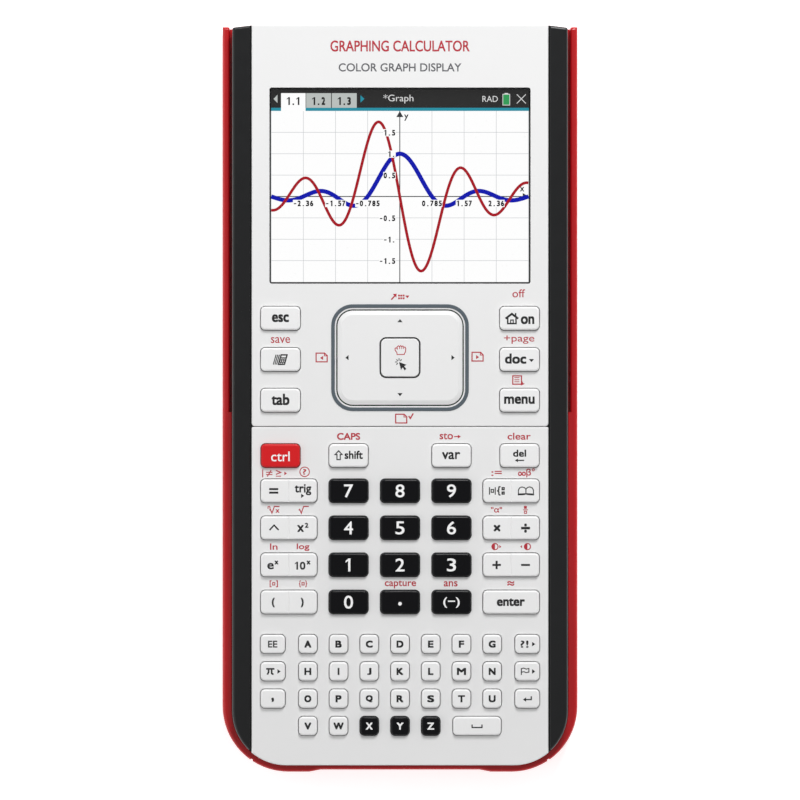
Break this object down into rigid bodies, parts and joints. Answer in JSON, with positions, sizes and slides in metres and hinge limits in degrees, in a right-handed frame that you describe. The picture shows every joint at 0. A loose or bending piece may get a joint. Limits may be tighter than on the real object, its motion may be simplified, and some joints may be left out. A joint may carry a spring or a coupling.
{
  "type": "graphing calculator",
  "caption": "Handheld graphing calculator with a colour display, a touchpad with a click button, a full keypad with letter keys and a slide cover.",
  "frame": {"origin": "middle of the flat back of the slide cover, under the middle of the object", "axes": "+Z out of the face with the keys, +Y towards the display end, +X to the right of the face"},
  "size_m": [0.09, 0.189, 0.017],
  "materials": {
    "black_plastic": "satin",
    "white_plastic": "satin",
    "red_plastic": "gloss",
    "window": "clear",
    "lcd_glass": "gloss",
    "backlight_white": "satin",
    "grey_plastic": "satin",
    "pad_plastic": "fine matte",
    "inner_plastic": "matte",
    "circuit_board": "solder mask",
    "spring_steel": "bright",
    "chip_black": "matte",
    "silicone": "matte",
    "foot_rubber": "matte",
    "plated_steel": "plated",
    "battery_wrap": "film",
    "screw_steel": "blackened",
    "white_key": "satin",
    "black_key": "satin",
    "red_key": "satin"
  },
  "bodies": {
    "calculator": {"front_housing": "black_plastic", "rear_housing": "black_plastic", "upper_fascia": "white_plastic", "keypad_fascia": "white_plastic", "display_window": "window", "lcd_panel": "lcd_glass", "lcd_backlight": "backlight_white", "touchpad_ring": "grey_plastic", "touchpad_domes": "spring_steel", "main_board": "circuit_board", "board_chips": "chip_black", "keypad_mat": "silicone", "usb_connector": "plated_steel", "battery_pack": "battery_wrap", "battery_contacts": "inner_plastic", "battery_door": "black_plastic", "battery_door_screw": "screw_steel", "case_screws": "screw_steel", "board_screws": "screw_steel", "rear_feet": "foot_rubber"},
    "slide_cover": {"slide_cover": "red_plastic"},
    "touchpad_carrier": {"touchpad_carrier": "inner_plastic"},
    "touchpad_plate": {"touchpad_plate": "pad_plastic", "touchpad_sensor": "circuit_board"},
    "touchpad_button": {"touchpad_button": "pad_plastic"},
    "reset_button": {"reset_button": "inner_plastic"},
    "key_escape": {"key_escape": "white_key"},
    "key_scratchpad": {"key_scratchpad": "white_key"},
    "key_tab": {"key_tab": "white_key"},
    "key_home": {"key_home": "white_key"},
    "key_document": {"key_document": "white_key"},
    "key_menu": {"key_menu": "white_key"},
    "key_control": {"key_control": "red_key"},
    "key_shift": {"key_shift": "white_key"},
    "key_variable": {"key_variable": "white_key"},
    "key_delete": {"key_delete": "white_key"},
    "key_seven": {"key_seven": "black_key"},
    "key_eight": {"key_eight": "black_key"},
    "key_nine": {"key_nine": "black_key"},
    "key_four": {"key_four": "black_key"},
    "key_five": {"key_five": "black_key"},
    "key_six": {"key_six": "black_key"},
    "key_one": {"key_one": "black_key"},
    "key_two": {"key_two": "black_key"},
    "key_three": {"key_three": "black_key"},
    "key_zero": {"key_zero": "black_key"},
    "key_point": {"key_point": "black_key"},
    "key_negative": {"key_negative": "black_key"},
    "key_enter": {"key_enter": "white_key"},
    "key_equals_trig": {"key_equals_trig": "white_key"},
    "key_power_square": {"key_power_square": "white_key"},
    "key_exponent": {"key_exponent": "white_key"},
    "key_brackets": {"key_brackets": "white_key"},
    "key_templates_catalog": {"key_templates_catalog": "white_key"},
    "key_times_divide": {"key_times_divide": "white_key"},
    "key_plus_minus": {"key_plus_minus": "white_key"},
    "keys_a_to_g": {"keys_a_to_g": "white_key"},
    "keys_h_to_n": {"keys_h_to_n": "white_key"},
    "keys_o_to_u": {"keys_o_to_u": "white_key"},
    "keys_v_to_space": {"keys_v_to_space": "white_key"}
  },
  "joints": [
    {"name": "cover_slide", "type": "slide", "parent": "calculator", "child": "slide_cover", "axis": [0, -1, 0], "range_m": [0, 0.19]},
    {"name": "touchpad_up_down", "type": "hinge", "parent": "calculator", "child": "touchpad_carrier", "pos_m": [0, 0.01045, 0.0131], "axis": [1, 0, 0], "range_deg": [-1.2, 1.2], "stiffness_Nm_per_rad": 0.5},
    {"name": "touchpad_left_right", "type": "hinge", "parent": "touchpad_carrier", "child": "touchpad_plate", "pos_m": [0, 0.01045, 0.0131], "axis": [0, 1, 0], "range_deg": [-1.2, 1.2], "stiffness_Nm_per_rad": 0.5},
    {"name": "touchpad_click", "type": "slide", "parent": "touchpad_plate", "child": "touchpad_button", "axis": [0, 0, -1], "range_m": [0, 0.0006], "stiffness_N_per_m": 800},
    {"name": "enter_press", "type": "slide", "parent": "calculator", "child": "key_enter", "axis": [0, 0, -1], "range_m": [0, 0.0008], "stiffness_N_per_m": 800, "deforming": ["keypad_mat"]},
    {"name": "control_press", "type": "slide", "parent": "calculator", "child": "key_control", "axis": [0, 0, -1], "range_m": [0, 0.0008], "stiffness_N_per_m": 800, "deforming": ["keypad_mat"]},
    {"name": "menu_press", "type": "slide", "parent": "calculator", "child": "key_menu", "axis": [0, 0, -1], "range_m": [0, 0.0008], "stiffness_N_per_m": 800, "deforming": ["keypad_mat"]},
    {"name": "five_press", "type": "slide", "parent": "calculator", "child": "key_five", "axis": [0, 0, -1], "range_m": [0, 0.0008], "stiffness_N_per_m": 800, "deforming": ["keypad_mat"]},
    {"name": "escape_press", "type": "slide", "parent": "calculator", "child": "key_escape", "axis": [0, 0, -1], "range_m": [0, 0.0008], "stiffness_N_per_m": 800, "deforming": ["keypad_mat"]},
    {"name": "scratchpad_press", "type": "slide", "parent": "calculator", "child": "key_scratchpad", "axis": [0, 0, -1], "range_m": [0, 0.0008], "stiffness_N_per_m": 800, "deforming": ["keypad_mat"]},
    {"name": "tab_press", "type": "slide", "parent": "calculator", "child": "key_tab", "axis": [0, 0, -1], "range_m": [0, 0.0008], "stiffness_N_per_m": 800, "deforming": ["keypad_mat"]},
    {"name": "home_press", "type": "slide", "parent": "calculator", "child": "key_home", "axis": [0, 0, -1], "range_m": [0, 0.0008], "stiffness_N_per_m": 800, "deforming": ["keypad_mat"]},
    {"name": "document_press", "type": "slide", "parent": "calculator", "child": "key_document", "axis": [0, 0, -1], "range_m": [0, 0.0008], "stiffness_N_per_m": 800, "deforming": ["keypad_mat"]},
    {"name": "shift_press", "type": "slide", "parent": "calculator", "child": "key_shift", "axis": [0, 0, -1], "range_m": [0, 0.0008], "stiffness_N_per_m": 800, "deforming": ["keypad_mat"]},
    {"name": "variable_press", "type": "slide", "parent": "calculator", "child": "key_variable", "axis": [0, 0, -1], "range_m": [0, 0.0008], "stiffness_N_per_m": 800, "deforming": ["keypad_mat"]},
    {"name": "delete_press", "type": "slide", "parent": "calculator", "child": "key_delete", "axis": [0, 0, -1], "range_m": [0, 0.0008], "stiffness_N_per_m": 800, "deforming": ["keypad_mat"]},
    {"name": "seven_press", "type": "slide", "parent": "calculator", "child": "key_seven", "axis": [0, 0, -1], "range_m": [0, 0.0008], "stiffness_N_per_m": 800, "deforming": ["keypad_mat"]},
    {"name": "eight_press", "type": "slide", "parent": "calculator", "child": "key_eight", "axis": [0, 0, -1], "range_m": [0, 0.0008], "stiffness_N_per_m": 800, "deforming": ["keypad_mat"]},
    {"name": "nine_press", "type": "slide", "parent": "calculator", "child": "key_nine", "axis": [0, 0, -1], "range_m": [0, 0.0008], "stiffness_N_per_m": 800, "deforming": ["keypad_mat"]},
    {"name": "four_press", "type": "slide", "parent": "calculator", "child": "key_four", "axis": [0, 0, -1], "range_m": [0, 0.0008], "stiffness_N_per_m": 800, "deforming": ["keypad_mat"]},
    {"name": "six_press", "type": "slide", "parent": "calculator", "child": "key_six", "axis": [0, 0, -1], "range_m": [0, 0.0008], "stiffness_N_per_m": 800, "deforming": ["keypad_mat"]},
    {"name": "one_press", "type": "slide", "parent": "calculator", "child": "key_one", "axis": [0, 0, -1], "range_m": [0, 0.0008], "stiffness_N_per_m": 800, "deforming": ["keypad_mat"]},
    {"name": "two_press", "type": "slide", "parent": "calculator", "child": "key_two", "axis": [0, 0, -1], "range_m": [0, 0.0008], "stiffness_N_per_m": 800, "deforming": ["keypad_mat"]},
    {"name": "three_press", "type": "slide", "parent": "calculator", "child": "key_three", "axis": [0, 0, -1], "range_m": [0, 0.0008], "stiffness_N_per_m": 800, "deforming": ["keypad_mat"]},
    {"name": "zero_press", "type": "slide", "parent": "calculator", "child": "key_zero", "axis": [0, 0, -1], "range_m": [0, 0.0008], "stiffness_N_per_m": 800, "deforming": ["keypad_mat"]},
    {"name": "point_press", "type": "slide", "parent": "calculator", "child": "key_point", "axis": [0, 0, -1], "range_m": [0, 0.0008], "stiffness_N_per_m": 800, "deforming": ["keypad_mat"]},
    {"name": "negative_press", "type": "slide", "parent": "calculator", "child": "key_negative", "axis": [0, 0, -1], "range_m": [0, 0.0008], "stiffness_N_per_m": 800, "deforming": ["keypad_mat"]},
    {"name": "equals_trig_rock", "type": "hinge", "parent": "calculator", "child": "key_equals_trig", "pos_m": [-0.02808, -0.0232, 0.0132], "axis": [0, 1, 0], "range_deg": [-2.5, 2.5], "stiffness_Nm_per_rad": 0.1, "deforming": ["keypad_mat"]},
    {"name": "power_square_rock", "type": "hinge", "parent": "calculator", "child": "key_power_square", "pos_m": [-0.02808, -0.03255, 0.0132], "axis": [0, 1, 0], "range_deg": [-2.5, 2.5], "stiffness_Nm_per_rad": 0.1, "deforming": ["keypad_mat"]},
    {"name": "exponent_rock", "type": "hinge", "parent": "calculator", "child": "key_exponent", "pos_m": [-0.02808, -0.0419, 0.0132], "axis": [0, 1, 0], "range_deg": [-2.5, 2.5], "stiffness_Nm_per_rad": 0.1, "deforming": ["keypad_mat"]},
    {"name": "brackets_rock", "type": "hinge", "parent": "calculator", "child": "key_brackets", "pos_m": [-0.02808, -0.0513, 0.0132], "axis": [0, 1, 0], "range_deg": [-2.5, 2.5], "stiffness_Nm_per_rad": 0.1, "deforming": ["keypad_mat"]},
    {"name": "templates_catalog_rock", "type": "hinge", "parent": "calculator", "child": "key_templates_catalog", "pos_m": [0.02808, -0.0232, 0.0132], "axis": [0, 1, 0], "range_deg": [-2.5, 2.5], "stiffness_Nm_per_rad": 0.1, "deforming": ["keypad_mat"]},
    {"name": "times_divide_rock", "type": "hinge", "parent": "calculator", "child": "key_times_divide", "pos_m": [0.02808, -0.03255, 0.0132], "axis": [0, 1, 0], "range_deg": [-2.5, 2.5], "stiffness_Nm_per_rad": 0.1, "deforming": ["keypad_mat"]},
    {"name": "plus_minus_rock", "type": "hinge", "parent": "calculator", "child": "key_plus_minus", "pos_m": [0.02808, -0.0419, 0.0132], "axis": [0, 1, 0], "range_deg": [-2.5, 2.5], "stiffness_Nm_per_rad": 0.1, "deforming": ["keypad_mat"]},
    {"name": "row_a_to_g_press", "type": "slide", "parent": "calculator", "child": "keys_a_to_g", "axis": [0, 0, -1], "range_m": [0, 0.0008], "stiffness_N_per_m": 800, "deforming": ["keypad_mat"]},
    {"name": "row_h_to_n_press", "type": "slide", "parent": "calculator", "child": "keys_h_to_n", "axis": [0, 0, -1], "range_m": [0, 0.0008], "stiffness_N_per_m": 800, "deforming": ["keypad_mat"]},
    {"name": "row_o_to_u_press", "type": "slide", "parent": "calculator", "child": "keys_o_to_u", "axis": [0, 0, -1], "range_m": [0, 0.0008], "stiffness_N_per_m": 800, "deforming": ["keypad_mat"]},
    {"name": "row_v_to_space_press", "type": "slide", "parent": "calculator", "child": "keys_v_to_space", "axis": [0, 0, -1], "range_m": [0, 0.0008], "stiffness_N_per_m": 800, "deforming": ["keypad_mat"]},
    {"name": "reset_press", "type": "slide", "parent": "calculator", "child": "reset_button", "axis": [0, 0, 1], "range_m": [0, 0.0004], "stiffness_N_per_m": 800}
  ]
}
